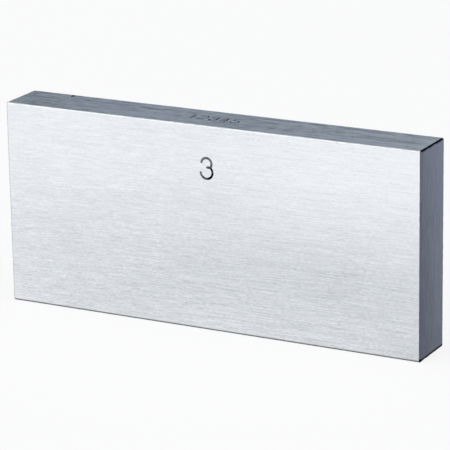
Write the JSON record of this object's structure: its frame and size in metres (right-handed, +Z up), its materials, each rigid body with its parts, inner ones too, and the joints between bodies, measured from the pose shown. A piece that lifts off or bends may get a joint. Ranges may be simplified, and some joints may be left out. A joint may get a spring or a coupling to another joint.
{
  "type": "gauge block",
  "caption": "Rectangular steel gauge block: a ground bar whose lapped, parallel end faces hold a known length, standing on its long narrow side.",
  "frame": {"origin": "middle of the long narrow face that the block stands on", "axes": "+X from the left to the right measuring face, +Y from the marked broad face to the plain one, +Z up"},
  "size_m": [0.0762, 0.009, 0.035],
  "materials": {
    "steel": "fine lengthwise grinding on the sides, lapped ends, blackened marks"
  },
  "bodies": {
    "root": {"gauge_block": "steel"}
  },
  "joints": []
}
